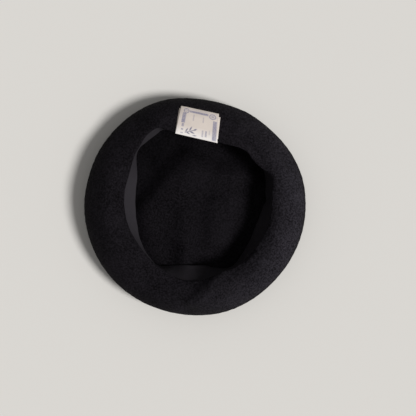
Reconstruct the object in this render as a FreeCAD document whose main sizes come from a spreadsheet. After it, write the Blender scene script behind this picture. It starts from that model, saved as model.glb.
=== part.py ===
import FreeCAD, Part
import math
import os

import Sketcher
from FreeCAD import Placement, Rotation, Vector

# A felt beret lying upside down on its crown, with the head opening up.
# Frame: origin on the ground under the middle of the plate, +Z up through the opening.
# Millimetres throughout.

# ---------------------------------------------------------------- driving dimensions
SIZES = {
    "plate_radius": 136.5,       # widest radius of the beret
    "felt_thick": 2.6,
    "crown_lift": 8.0,           # the crown's middle stands this high over its resting ring
    "foot_inner": 60.0,          # the flat ring that the crown rests on
    "foot_outer": 96.0,
    "sole_radius": 110.0,        # slow curve from the flat ring to the roll
    "roll_radius": 26.0,         # upper quarter of the fat outer roll
    "ring_height": 50.5,         # top of the turned-in underside
    "slope_radius": 50.0,        # the underside falls away to the opening with this curve
    "rim_spare": 2.0,            # felt left over for the opening to be cut true
    "band_radius": 90.7,         # 57 cm head size, inside the sweatband
    "band_thick": 0.8,
    "band_straight": 9.0,        # upright part of the ribbon, at its sewn edge
    "band_drop": 18.0,           # the rest of its height, leaning inwards
    "band_lean": 10.0,           # how far the free edge leans in
    "stitch_count": 96.0,
    "stitch_length": 3.4,
    "stitch_reach": 4.0,         # how deep a seam stitch bites, from the band's face
    "thread_size": 0.6,
    "stitch_below_rim": 1.3,
    "join_angle": -42.0,         # where the ribbon's two ends meet
    "join_count": 4.0,
    "join_pitch": 1.6,
    "stalk_radius": 2.1,
    "stalk_bend": 5.4,
    "stalk_length": 15.0,
    "stalk_seat": 0.3,           # how far the stalk's root is felted into the crown
    "stalk_angle": 205.0,        # the way the bent stalk points
    "tack_count": 8.0,
    "tack_length": 2.4,
    "label_x": 2.75,             # middle of the label's fold
    "label_y": 84.2,
    "label_height": 50.0,
    "label_turn": -12.95,        # turn of the fold line about +Z
    "label_tilt": 5.0,           # the label climbs outwards over the felt
    "label_width": 53.2,
    "leaf_thick": 0.5,
    "fold_radius": 0.6,
    "sewn_leaf_length": 33.0,
    "flap_length": 35.6,
    "flap_start": 1.0,           # the flap begins this far from its hinge line
    "flap_lift": 0.25,           # and this far over it
    "label_corner": 1.2,
    "label_tack_count": 7.0,
    "label_tack_pitch": 8.0,
    "label_tack_inset": 1.5,
    "label_tack_length": 3.0,
    "label_tack_depth": 5.0,
}

doc = FreeCAD.newDocument("Beret")
sheet = doc.addObject("Spreadsheet::Sheet", "Sizes")
for row, (alias, value) in enumerate(SIZES.items(), start=1):
    sheet.set(f"A{row}", alias)
    sheet.set(f"B{row}", str(value))
    sheet.setAlias(f"B{row}", alias)
doc.recompute()


def size(alias):
    """One driving dimension, read back from the sheet."""
    return float(sheet.get(alias))


def sized(text):
    """Turn a formula of bare aliases into a spreadsheet expression."""
    for alias in sorted(SIZES, key=len, reverse=True):
        text = text.replace(f"[{alias}]", f"Sizes.{alias}")
    return text


def bind(target, prop, formula):
    """Bind one property to a formula in which aliases stand in square brackets."""
    target.setExpression(prop, sized(formula))


# ---------------------------------------------------------------- sketch and body helpers
START, END, MIDDLE = 1, 2, 3
ORIGIN, X_AXIS, Y_AXIS = (-1, 1), -1, -2


def add_dimension(sketch, name, kind, where, formula, guess):
    """Add a named driving constraint and bind it to the sheet."""
    index = sketch.addConstraint(Sketcher.Constraint(kind, *where, guess))
    sketch.renameConstraint(index, name)
    bind(sketch, f"Constraints.{name}", formula)


def add_constraints(sketch, *constraints):
    """Add plain geometric constraints."""
    for constraint in constraints:
        sketch.addConstraint(Sketcher.Constraint(*constraint))


def new_body(label):
    """An empty PartDesign body that may hold several separate solids."""
    body = doc.addObject("PartDesign::Body", label)
    body.Label = label
    body.AllowCompound = True
    return body


def origin_feature(body, role):
    """One of the body's own origin planes or axes, found by its role."""
    return next(item for item in body.Origin.OriginFeatures if item.Role == role)


def new_sketch(body, name, plane_role):
    """A sketch lying on one of the body's own origin planes."""
    sketch = body.newObject("Sketcher::SketchObject", name)
    sketch.AttachmentSupport = [(origin_feature(body, plane_role), "")]
    sketch.MapMode = "FlatFace"
    return sketch


def add_polygon(sketch, points):
    """A closed run of straight lines, joined end to end."""
    for first, second in zip(points, points[1:] + points[:1]):
        sketch.addGeometry(Part.LineSegment(Vector(*first, 0), Vector(*second, 0)), False)
    count = len(points)
    for line in range(count):
        add_constraints(sketch, ("Coincident", line, END, (line + 1) % count, START))


def add_rectangle(sketch, name, low, high, width, height, left, bottom):
    """A rectangle; its size and its lower left corner are bound to the sheet."""
    corners = [low, (high[0], low[1]), high, (low[0], high[1])]
    add_polygon(sketch, corners)
    add_constraints(sketch, ("Horizontal", 0), ("Vertical", 1), ("Horizontal", 2), ("Vertical", 3))
    add_dimension(sketch, f"{name}_width", "DistanceX", (0, START, 0, END), width, high[0] - low[0])
    add_dimension(sketch, f"{name}_height", "DistanceY", (1, START, 1, END), height, high[1] - low[1])
    add_dimension(sketch, f"{name}_left", "DistanceX", (*ORIGIN, 0, START), left, low[0])
    add_dimension(sketch, f"{name}_bottom", "DistanceY", (*ORIGIN, 0, START), bottom, low[1])


# ---------------------------------------------------------------- felt body
def arc(centre_x, centre_y, radius, start_deg, end_deg):
    """An arc of a circle in sketch coordinates."""
    circle = Part.Circle(Vector(centre_x, centre_y, 0), Vector(0, 0, 1), radius)
    return Part.ArcOfCircle(circle, math.radians(start_deg), math.radians(end_deg))


def draw_felt_line(sketch):
    """The felt's outer face, from the crown's middle round the roll to the opening.

    Sketch x is the radius and y the height. Every joint of the line is tangent.
    """
    lift, foot_in, foot_out = size("crown_lift"), size("foot_inner"), size("foot_outer")
    dome = (foot_in ** 2 / 4 + lift ** 2 / 4) / lift
    dome_sweep = math.degrees(math.asin(foot_in / 2 / dome))
    roll, top = size("roll_radius"), size("ring_height")
    crest = size("plate_radius") - roll
    sole = size("sole_radius")
    sole_sweep, curl = 11.8, 22.7        # first guesses, which the tangent joints settle
    slope = size("slope_radius")
    rim = size("band_radius") + size("band_thick") - size("rim_spare")
    slope_sweep = math.degrees(math.asin((crest - rim) / slope))

    sketch.addGeometry([
        arc(0, lift - dome, dome, 90 - dome_sweep, 90),
        arc(foot_in, dome, dome, 270 - dome_sweep, 270),
        Part.LineSegment(Vector(foot_in, 0, 0), Vector(foot_out, 0, 0)),
        arc(foot_out, sole, sole, 270, 270 + sole_sweep),
        arc(crest + roll - curl, top - roll, curl, 270 + sole_sweep, 360),
        arc(crest, top - roll, roll, 0, 90),
        arc(crest, top - slope, slope, 90, 90 + slope_sweep),
    ], False)
    crown, dish, foot, sole_arc, curl_arc, roll_arc, slope_arc = range(7)
    add_constraints(
        sketch,
        ("Tangent", crown, START, dish, START),
        ("Tangent", dish, END, foot, START),
        ("Tangent", foot, END, sole_arc, START),
        ("Tangent", sole_arc, END, curl_arc, START),
        ("Tangent", curl_arc, END, roll_arc, START),
        ("Tangent", roll_arc, END, slope_arc, START),
        ("PointOnObject", crown, END, Y_AXIS),
        ("PointOnObject", crown, MIDDLE, Y_AXIS),
        ("Equal", crown, dish),
        ("PointOnObject", foot, START, X_AXIS),
        ("Horizontal", foot),
        ("Horizontal", roll_arc, MIDDLE, roll_arc, START),
        ("Vertical", roll_arc, MIDDLE, roll_arc, END),
    )
    add_dimension(sketch, "lift", "DistanceY", (*ORIGIN, crown, END), "[crown_lift]", lift)
    add_dimension(sketch, "foot_in", "DistanceX", (*ORIGIN, foot, START), "[foot_inner]", foot_in)
    add_dimension(sketch, "foot_out", "DistanceX", (*ORIGIN, foot, END), "[foot_outer]", foot_out)
    add_dimension(sketch, "sole", "Radius", (sole_arc,), "[sole_radius]", sole)
    add_dimension(sketch, "reach", "DistanceX", (*ORIGIN, roll_arc, START), "[plate_radius]", crest + roll)
    add_dimension(sketch, "roll", "Radius", (roll_arc,), "[roll_radius]", roll)
    add_dimension(sketch, "crest", "DistanceY", (*ORIGIN, roll_arc, END), "[ring_height]", top)
    add_dimension(sketch, "slope", "Radius", (slope_arc,), "[slope_radius]", slope)
    add_dimension(sketch, "rim", "DistanceX", (*ORIGIN, slope_arc, END),
                  "[band_radius] + [band_thick] - [rim_spare]", rim)


def build_felt_body():
    """One seamless shell: line, thickened inwards, turned round and cut for the head."""
    line = doc.addObject("Sketcher::SketchObject", "felt_line")
    line.Placement = Placement(Vector(), Rotation(Vector(1, 0, 0), 90))
    draw_felt_line(line)

    section = doc.addObject("Part::Offset2D", "felt_section")
    section.Source = line
    section.Mode = "Skin"
    section.Join = "Tangent"
    section.Fill = True
    bind(section, "Value", "-[felt_thick]")

    turned = doc.addObject("Part::Revolution", "felt_turned")
    turned.Source = section
    turned.Axis = Vector(0, 0, 1)
    turned.Angle = 360
    turned.Solid = True

    cutter = doc.addObject("Part::Cylinder", "opening_cutter")
    bind(cutter, "Radius", "[band_radius] + [band_thick]")
    bind(cutter, "Height", "[ring_height]")
    bind(cutter, "Placement.Base.z", "[ring_height] / 2")

    felt = doc.addObject("Part::Cut", "felt_body")
    felt.Base = turned
    felt.Tool = cutter
    felt.Label = "felt_body"
    return felt


RIM_HEIGHT = ("([ring_height] - [slope_radius] + sqrt([slope_radius] ^ 2"
              " - ([plate_radius] - [roll_radius] - [band_radius] - [band_thick]) ^ 2))")


def rim_height():
    """Height of the felt's outer face where the opening is cut."""
    run = size("plate_radius") - size("roll_radius") - size("band_radius") - size("band_thick")
    return size("ring_height") - size("slope_radius") + math.sqrt(size("slope_radius") ** 2 - run ** 2)


# ---------------------------------------------------------------- sweatband and its threads
def build_sweatband():
    """A ribbon ring: upright at its sewn edge, then leaning into the opening."""
    body = new_body("sweatband")
    sketch = new_sketch(body, "band_section", "XZ_Plane")
    inner, thick = size("band_radius"), size("band_thick")
    top = rim_height()
    knee = top - size("band_straight")
    free = knee - size("band_drop")
    lean = size("band_lean")
    add_polygon(sketch, [(inner, top), (inner + thick, top), (inner + thick, knee),
                         (inner + thick - lean, free), (inner - lean, free), (inner, knee)])
    add_constraints(sketch, ("Horizontal", 0), ("Vertical", 1), ("Horizontal", 3), ("Vertical", 5),
                    ("Horizontal", 1, END, 5, START))
    add_dimension(sketch, "inner", "DistanceX", (*ORIGIN, 0, START), "[band_radius]", inner)
    add_dimension(sketch, "thick", "DistanceX", (0, START, 0, END), "[band_thick]", thick)
    add_dimension(sketch, "top", "DistanceY", (*ORIGIN, 0, START), RIM_HEIGHT, top)
    add_dimension(sketch, "straight", "DistanceY", (5, START, 5, END), "[band_straight]", top - knee)
    add_dimension(sketch, "drop", "DistanceY", (4, START, 4, END), "[band_drop]", knee - free)
    add_dimension(sketch, "lean", "DistanceX", (4, START, 4, END), "[band_lean]", lean)
    add_dimension(sketch, "free_thick", "DistanceX", (3, END, 3, START), "[band_thick]", thick)

    ring = body.newObject("PartDesign::Revolution", "band_ring")
    ring.Profile = sketch
    ring.ReferenceAxis = (sketch, ["V_Axis"])
    ring.Angle = 360
    return body


def build_seam_stitches():
    """The running stitch that joins ribbon and felt, as separate staples of thread."""
    body = new_body("seam_stitches")
    bind(body, "Placement.Base.z", RIM_HEIGHT + " - [stitch_below_rim]")
    sketch = new_sketch(body, "staple_outline", "XY_Plane")
    face, thread = size("band_radius"), size("thread_size")
    half, deep = size("stitch_length") / 2, size("band_radius") + size("stitch_reach")
    add_polygon(sketch, [(face, -half), (deep, -half), (deep, thread - half), (face + thread, thread - half),
                         (face + thread, half - thread), (deep, half - thread), (deep, half), (face, half)])
    add_constraints(sketch, *[("Horizontal" if line % 2 == 0 else "Vertical", line) for line in range(7)])
    add_constraints(sketch, ("Vertical", 7), ("Equal", 1, 5), ("Vertical", 1, END, 5, START))
    add_dimension(sketch, "bottom", "DistanceY", (*ORIGIN, 0, START), "-[stitch_length] / 2", -half)
    add_dimension(sketch, "face", "DistanceX", (*ORIGIN, 0, START), "[band_radius]", face)
    add_dimension(sketch, "reach", "DistanceX", (0, START, 0, END), "[stitch_reach]", deep - face)
    add_dimension(sketch, "length", "DistanceY", (7, END, 7, START), "[stitch_length]", 2 * half)
    add_dimension(sketch, "leg", "DistanceY", (1, START, 1, END), "[thread_size]", thread)
    add_dimension(sketch, "cross", "DistanceX", (0, START, 3, END), "[thread_size]", thread)

    staple = body.newObject("PartDesign::Pad", "staple")
    staple.Profile = sketch
    staple.Midplane = True
    bind(staple, "Length", "[thread_size]")
    doc.recompute()
    ring = body.newObject("PartDesign::PolarPattern", "staple_ring")
    ring.Originals = [staple]
    ring.Axis = (origin_feature(body, "Z_Axis"), [""])
    ring.Angle = 360
    bind(ring, "Occurrences", "[stitch_count]")
    body.Tip = ring
    return body


def build_band_join_stitches():
    """Tacks that close the ribbon's two ends into a ring, one above the other."""
    body = new_body("band_join_stitches")
    body.Placement = Placement(Vector(), Rotation(Vector(0, 0, 1), size("join_angle")))
    bind(body, "Placement.Base.z", RIM_HEIGHT + " - [band_straight]")
    sketch = new_sketch(body, "tack_outline", "YZ_Plane")
    half, thread = size("tack_length") / 2, size("thread_size")
    add_rectangle(sketch, "tack", (-half, thread), (half, 2 * thread),
                  "[tack_length]", "[thread_size]", "-[tack_length] / 2", "[thread_size]")
    doc.recompute()
    tack = body.newObject("PartDesign::Pad", "tack")
    tack.Profile = sketch
    bind(tack, "Length", "[band_thick]")
    bind(sketch, "AttachmentOffset.Base.z", "[band_radius]")
    doc.recompute()
    row = body.newObject("PartDesign::LinearPattern", "tack_row")
    row.Originals = [tack]
    row.Direction = (origin_feature(body, "Z_Axis"), [""])
    bind(row, "Length", "([join_count] - 1) * [join_pitch]")
    bind(row, "Occurrences", "[join_count]")
    body.Tip = row
    return body


# ---------------------------------------------------------------- stalk
def build_stalk():
    """The felt tail: down out of the crown's middle, then bent along the ground."""
    body = new_body("stalk")
    body.Placement = Placement(Vector(), Rotation(Vector(0, 0, 1), size("stalk_angle")))
    bind(body, "Placement.Base.z", "[crown_lift] + [stalk_seat]")
    bend, length = size("stalk_bend"), size("stalk_length")

    spine = new_sketch(body, "stalk_line", "XZ_Plane")
    spine.addGeometry([arc(bend, 0, bend, 180, 270),
                       Part.LineSegment(Vector(bend, -bend, 0), Vector(bend + length, -bend, 0))], False)
    add_constraints(spine, ("Tangent", 0, END, 1, START), ("Horizontal", 1),
                    ("Coincident", 0, START, *ORIGIN), ("PointOnObject", 0, MIDDLE, X_AXIS))
    add_dimension(spine, "bend", "Radius", (0,), "[stalk_bend]", bend)
    add_dimension(spine, "length", "DistanceX", (1, START, 1, END), "[stalk_length]", length)

    section = new_sketch(body, "stalk_section", "XY_Plane")
    section.addGeometry(Part.Circle(Vector(), Vector(0, 0, 1), size("stalk_radius")), False)
    add_constraints(section, ("Coincident", 0, MIDDLE, *ORIGIN))
    add_dimension(section, "round", "Radius", (0,), "[stalk_radius]", size("stalk_radius"))

    tube = body.newObject("PartDesign::AdditivePipe", "stalk_tube")
    tube.Profile = section
    tube.Spine = (spine, ["Edge1", "Edge2"])
    doc.recompute()
    tip = body.newObject("PartDesign::AdditiveSphere", "stalk_tip")
    bind(tip, "Radius", "[stalk_radius]")
    tip.AttachmentSupport = [(origin_feature(body, "XY_Plane"), "")]
    tip.MapMode = "FlatFace"
    bind(tip, "AttachmentOffset.Base.x", "[stalk_bend] + [stalk_length]")
    bind(tip, "AttachmentOffset.Base.z", "-[stalk_bend]")
    return body


def build_stalk_stitches():
    """Small tacks round the stalk's root, half in the stalk and half in the crown."""
    body = new_body("stalk_stitches")
    bind(body, "Placement.Base.z", "[crown_lift]")
    sketch = new_sketch(body, "root_tack_outline", "XZ_Plane")
    inner, length = size("stalk_radius") - size("thread_size"), size("tack_length")
    thread = size("thread_size")
    add_rectangle(sketch, "root_tack", (inner, 0), (inner + length, thread),
                  "[tack_length]", "[thread_size] * 2", "[stalk_radius] - [thread_size]", "-[thread_size]")
    tack = body.newObject("PartDesign::Pad", "root_tack")
    tack.Profile = sketch
    tack.Midplane = True
    bind(tack, "Length", "[thread_size]")
    doc.recompute()
    ring = body.newObject("PartDesign::PolarPattern", "root_tack_ring")
    ring.Originals = [tack]
    ring.Axis = (origin_feature(body, "Z_Axis"), [""])
    ring.Angle = 360
    bind(ring, "Occurrences", "[tack_count]")
    body.Tip = ring
    return body


# ---------------------------------------------------------------- label
def label_body(label):
    """A body in the label's frame: x along the fold, y outwards, z off the felt."""
    body = new_body(label)
    turn = Rotation(Vector(0, 0, 1), size("label_turn"))
    climb = Rotation(Vector(1, 0, 0), size("label_tilt"))
    body.Placement = Placement(Vector(), turn.multiply(climb))
    bind(body, "Placement.Base.x", "[label_x]")
    bind(body, "Placement.Base.y", "[label_y]")
    bind(body, "Placement.Base.z", "[label_height]")
    return body


def add_leaf(body, name, start, length, bottom):
    """A flat leaf of cloth; start, length and bottom are formulas."""
    sketch = new_sketch(body, f"{name}_outline", "XY_Plane")
    half, far = size("label_width") / 2, size("sewn_leaf_length")
    add_rectangle(sketch, name, (-half, 1), (half, far), "[label_width]", length, "-[label_width] / 2", start)
    bind(sketch, "AttachmentOffset.Base.z", bottom)
    leaf = body.newObject("PartDesign::Pad", name)
    leaf.Profile = sketch
    bind(leaf, "Length", "[leaf_thick]")
    return leaf


def round_far_corners(body, leaf, name):
    """Round the two corners of a leaf that lie away from the fold."""
    doc.recompute()
    far = leaf.Shape.BoundBox.YMax
    names = []
    for number, edge in enumerate(leaf.Shape.Edges, start=1):
        box = edge.BoundBox
        upright = box.ZLength > 0.9 * size("leaf_thick") and box.XLength < 0.01 and box.YLength < 0.01
        if upright and abs(box.YMax - far) < 0.01:
            names.append(f"Edge{number}")
    fillet = body.newObject("PartDesign::Fillet", name)
    fillet.Base = (leaf, names)
    bind(fillet, "Radius", "[label_corner]")


def build_label_sewn_leaf():
    """The back half of the folded label, with the bead of its fold on the hinge line."""
    body = label_body("label_sewn_leaf")
    leaf = add_leaf(body, "sewn_leaf", "0", "[sewn_leaf_length]", "-[fold_radius]")
    round_far_corners(body, leaf, "sewn_leaf_corners")
    bead = body.newObject("PartDesign::AdditiveCylinder", "fold_bead")
    bead.AttachmentSupport = [(origin_feature(body, "YZ_Plane"), "")]
    bead.MapMode = "FlatFace"
    bind(bead, "Radius", "[fold_radius]")
    bind(bead, "Height", "[label_width]")
    bind(bead, "AttachmentOffset.Base.z", "-[label_width] / 2")
    return body


def build_label_flap():
    """The printed front half, which turns about the fold."""
    body = label_body("label_flap")
    leaf = add_leaf(body, "flap", "[flap_start]", "[flap_length] - [flap_start]", "[flap_lift]")
    round_far_corners(body, leaf, "flap_corners")
    return body


def build_label_stitches():
    """A row of tacks that holds the sewn leaf's far edge down on the felt."""
    body = label_body("label_stitches")
    sketch = new_sketch(body, "label_tack_outline", "XY_Plane")
    count, pitch = size("label_tack_count"), size("label_tack_pitch")
    length, thread = size("label_tack_length"), size("thread_size")
    first = -(count - 1) * pitch / 2 - length / 2
    low = size("sewn_leaf_length") - size("label_tack_inset") - thread
    add_rectangle(sketch, "label_tack", (first, low), (first + length, low + thread),
                  "[label_tack_length]", "[thread_size]",
                  "-([label_tack_count] - 1) * [label_tack_pitch] / 2 - [label_tack_length] / 2",
                  "[sewn_leaf_length] - [label_tack_inset] - [thread_size]")
    bind(sketch, "AttachmentOffset.Base.z", "-[fold_radius] + [leaf_thick] - [label_tack_depth]")
    tack = body.newObject("PartDesign::Pad", "label_tack")
    tack.Profile = sketch
    bind(tack, "Length", "[label_tack_depth]")
    doc.recompute()
    row = body.newObject("PartDesign::LinearPattern", "label_tack_row")
    row.Originals = [tack]
    row.Direction = (origin_feature(body, "X_Axis"), [""])
    bind(row, "Length", "([label_tack_count] - 1) * [label_tack_pitch]")
    bind(row, "Occurrences", "[label_tack_count]")
    body.Tip = row
    return body


# ---------------------------------------------------------------- build, check, write
def check_document():
    """Stop with a plain message if any object failed to recompute."""
    bad = [item.Name for item in doc.Objects if {"Invalid", "Error"} & set(item.State)]
    if bad:
        raise RuntimeError(f"failed to recompute: {bad}")


def write_part(item):
    """Check one sub-part's shape and write it under its label."""
    shape = item.Shape
    if shape.isNull() or not shape.isValid():
        raise RuntimeError(f"{item.Label} has no valid shape")
    shape.exportStep(f"parts/{item.Label}.step")
    box = shape.BoundBox
    print(f"{item.Label}: {len(shape.Solids)} solid(s), {shape.Volume:.1f} mm3, "
          f"z {box.ZMin:.2f} to {box.ZMax:.2f}")


def main():
    """Build every sub-part, check them all and write the STEP files."""
    sub_parts = [
        build_felt_body(),
        build_sweatband(),
        build_seam_stitches(),
        build_band_join_stitches(),
        build_stalk(),
        build_stalk_stitches(),
        build_label_sewn_leaf(),
        build_label_stitches(),
        build_label_flap(),
    ]
    doc.recompute()
    check_document()
    os.makedirs("parts", exist_ok=True)
    for item in sub_parts:
        write_part(item)


main()
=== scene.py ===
"""Looks of a round felt beret that lies upside down on its crown, head opening up.

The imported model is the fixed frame.  Every soft piece is made here as its own mesh, in
the same place as its plain solid, and dressed with a node material.  Lengths inside the
classes are millimetres; they become metres when a mesh is made.
"""

from __future__ import annotations

import logging
import math
from dataclasses import dataclass, field
from enum import Enum

import bpy
import numpy as np
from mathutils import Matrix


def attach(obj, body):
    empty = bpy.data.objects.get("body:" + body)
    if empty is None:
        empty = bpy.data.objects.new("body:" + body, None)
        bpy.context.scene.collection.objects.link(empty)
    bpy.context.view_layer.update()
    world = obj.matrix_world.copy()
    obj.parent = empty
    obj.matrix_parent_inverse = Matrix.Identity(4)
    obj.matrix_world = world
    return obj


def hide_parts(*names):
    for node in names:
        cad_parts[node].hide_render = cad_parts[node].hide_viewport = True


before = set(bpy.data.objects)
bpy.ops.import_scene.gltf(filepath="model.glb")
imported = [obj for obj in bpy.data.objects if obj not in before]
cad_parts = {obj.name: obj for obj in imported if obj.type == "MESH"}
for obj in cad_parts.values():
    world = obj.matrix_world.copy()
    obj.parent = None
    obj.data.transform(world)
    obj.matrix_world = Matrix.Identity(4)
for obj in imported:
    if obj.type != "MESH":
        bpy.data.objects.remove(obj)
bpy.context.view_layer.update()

LOG = logging.getLogger("beret")
MM = 0.001
TURN = 2.0 * math.pi
HAT = "hat"
FLAP = "label_flap"


class Slot(Enum):
    """The record's material slots."""

    FELT = "black_felt"
    BAND = "band_cloth"
    THREAD = "black_thread"
    LABEL = "label_cloth"
    LABEL_THREAD = "label_thread"


# ------------------------------------------------------------------ lines and surfaces
def smooth(value: np.ndarray, low: float, high: float) -> np.ndarray:
    """A smooth step from 0 at low to 1 at high."""
    share = np.clip((value - low) / (high - low), 0.0, 1.0)
    return share * share * (3.0 - 2.0 * share)


@dataclass(frozen=True)
class RoundLine:
    """A closed line round the hat's middle, eased through a few (bearing, value) points.

    Bearings are degrees anticlockwise from +X, in rising order.
    """

    points: tuple[tuple[float, float], ...]

    def at(self, bearing: np.ndarray) -> np.ndarray:
        """The line's value at each bearing.

        Args:
            bearing: angles in radians.

        Returns:
            The eased values, one for each angle.
        """
        angle, value = np.array(self.points, float).T
        angle = np.concatenate([angle[-2:] - 360.0, angle, angle[:3] + 360.0])
        value = np.concatenate([value[-2:], value, value[:3]])
        slope = (value[2:] - value[:-2]) / (angle[2:] - angle[:-2])
        wanted = np.degrees(bearing) % 360.0
        left = np.clip(np.searchsorted(angle, wanted, side="right") - 1, 1, len(angle) - 3)
        run = angle[left + 1] - angle[left]
        share = (wanted - angle[left]) / run
        start, end = slope[left - 1] * run, slope[left] * run
        return (
            (2 * share**3 - 3 * share**2 + 1) * value[left]
            + (share**3 - 2 * share**2 + share) * start
            + (3 * share**2 - 2 * share**3) * value[left + 1]
            + (share**3 - share**2) * end
        )


@dataclass(frozen=True)
class Fold:
    """A crease or swelling along a straight run, seen from above.

    The height falls away over `left` on the left of the run and over `right` on its
    right, walking from start to end.  A negative rise is a groove.
    """

    start: tuple[float, float]
    end: tuple[float, float]
    rise: float
    left: float
    right: float
    fade: float = 12.0

    def height(self, across: np.ndarray, along: np.ndarray) -> np.ndarray:
        """The fold's height over points of the plan.

        Args:
            across: the points' X.
            along: the points' Y.

        Returns:
            How much the fold adds at each point.
        """
        ax, ay = self.start
        dx, dy = self.end[0] - ax, self.end[1] - ay
        length = math.hypot(dx, dy)
        dx, dy = dx / length, dy / length
        run = (across - ax) * dx + (along - ay) * dy
        side = (along - ay) * dx - (across - ax) * dy
        spread = np.where(side > 0.0, self.left, self.right)
        beyond = np.maximum(np.maximum(-run, run - length), 0.0)
        return self.rise * np.exp(-((side / spread) ** 2) - (beyond / self.fade) ** 2)


@dataclass(frozen=True)
class Ripple:
    """Slow unevenness of soft cloth, as a few crossing waves with fixed seeds."""

    size: float
    swing: float
    seed: int
    waves: int = 7

    def height(self, across: np.ndarray, along: np.ndarray) -> np.ndarray:
        """The unevenness over points of the plan.

        Args:
            across: the points' X.
            along: the points' Y.

        Returns:
            How much the waves add at each point, up or down.
        """
        random = np.random.default_rng(self.seed)
        total = np.zeros_like(across)
        for _ in range(self.waves):
            heading = random.uniform(0.0, TURN)
            length = self.size * random.uniform(0.7, 1.6)
            phase = random.uniform(0.0, TURN)
            reach = across * math.cos(heading) + along * math.sin(heading)
            total += np.sin(TURN * reach / length + phase)
        return self.swing * total / math.sqrt(self.waves)


def new_piece(name: str, points: np.ndarray, faces: list, material: bpy.types.Material,
              body: str, replaces: tuple[str, ...] = ()) -> bpy.types.Object:
    """Make one mesh piece and tell the frame where it belongs.

    Args:
        name: the piece's name.
        points: its vertices, in millimetres.
        faces: its faces, as lists of vertex numbers.
        material: its finish.
        body: the body it rides on.
        replaces: the plain solids that it stands for.

    Returns:
        The new object.
    """
    mesh = bpy.data.meshes.new(name)
    mesh.from_pydata((np.asarray(points) * MM).tolist(), [], faces)
    mesh.polygons.foreach_set("use_smooth", [True] * len(mesh.polygons))
    mesh.materials.append(material)
    mesh.update()
    piece = bpy.data.objects.new(name, mesh)
    bpy.context.scene.collection.objects.link(piece)
    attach(piece, body)
    if replaces:
        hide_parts(*replaces)
    LOG.info("%s: %d faces on %s", name, len(faces), body)
    return piece


def grid_faces(rows: int, columns: int, closed: bool) -> list:
    """Quads over a grid of vertices that are numbered row by row.

    Args:
        rows: how many rows the grid has.
        columns: how many vertices are in a row.
        closed: whether the last column joins the first.

    Returns:
        The faces, as lists of vertex numbers.
    """
    faces = []
    for row in range(rows - 1):
        for column in range(columns if closed else columns - 1):
            after = (column + 1) % columns
            low, high = row * columns, (row + 1) * columns
            faces.append([low + column, low + after, high + after, high + column])
    return faces


def surface_normals(grid: np.ndarray) -> np.ndarray:
    """Unit normals of a grid of points whose columns run round a closed ring.

    Args:
        grid: the points, by row and column.

    Returns:
        One normal for each point.
    """
    down = np.gradient(grid, axis=0)
    around = np.roll(grid, -1, axis=1) - np.roll(grid, 1, axis=1)
    normal = np.cross(around, down)
    length = np.linalg.norm(normal, axis=2, keepdims=True)
    return normal / np.maximum(length, 1e-9)


def tube(path: np.ndarray, radii: np.ndarray, sides: int = 7) -> tuple[np.ndarray, list]:
    """A closed round tube along a path, drawn in to a rounded point at both ends.

    Args:
        path: points along the middle line.
        radii: the tube's radius at each point.
        sides: how many flats it has round it.

    Returns:
        The tube's vertices and faces.
    """
    path, radii = np.asarray(path, float), np.asarray(radii, float)
    along = np.gradient(path, axis=0)
    along /= np.linalg.norm(along, axis=1, keepdims=True)
    upward = np.array([0.0, 0.0, 1.0]) if abs(along[:, 2]).mean() < 0.7 else np.array([1.0, 0.0, 0.0])
    side = np.cross(along, upward)
    side /= np.linalg.norm(side, axis=1, keepdims=True)
    other = np.cross(side, along)
    turns = np.linspace(0.0, TURN, sides, endpoint=False)
    rings = (path[:, None] + radii[:, None, None] * (np.cos(turns)[None, :, None] * side[:, None]
                                                     + np.sin(turns)[None, :, None] * other[:, None]))
    tips = [path[0] - along[0] * radii[0] * 0.7, path[-1] + along[-1] * radii[-1] * 0.7]
    points = np.concatenate([rings.reshape(-1, 3), tips])
    faces = grid_faces(len(path), sides, True)
    first, last = len(points) - 2, (len(path) - 1) * sides
    for number in range(sides):
        after = (number + 1) % sides
        faces.append([first, after, number])
        faces.append([first + 1, last + number, last + after])
    return points, faces


def gather(parts: list[tuple[np.ndarray, list]]) -> tuple[np.ndarray, list]:
    """Put several closed shapes into one list of vertices and faces.

    Args:
        parts: the vertices and faces of each shape.

    Returns:
        All vertices and all faces.
    """
    points, faces, count = [], [], 0
    for part_points, part_faces in parts:
        points.append(part_points)
        faces.extend([[corner + count for corner in face] for face in part_faces])
        count += len(part_points)
    return np.concatenate(points), faces


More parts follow.
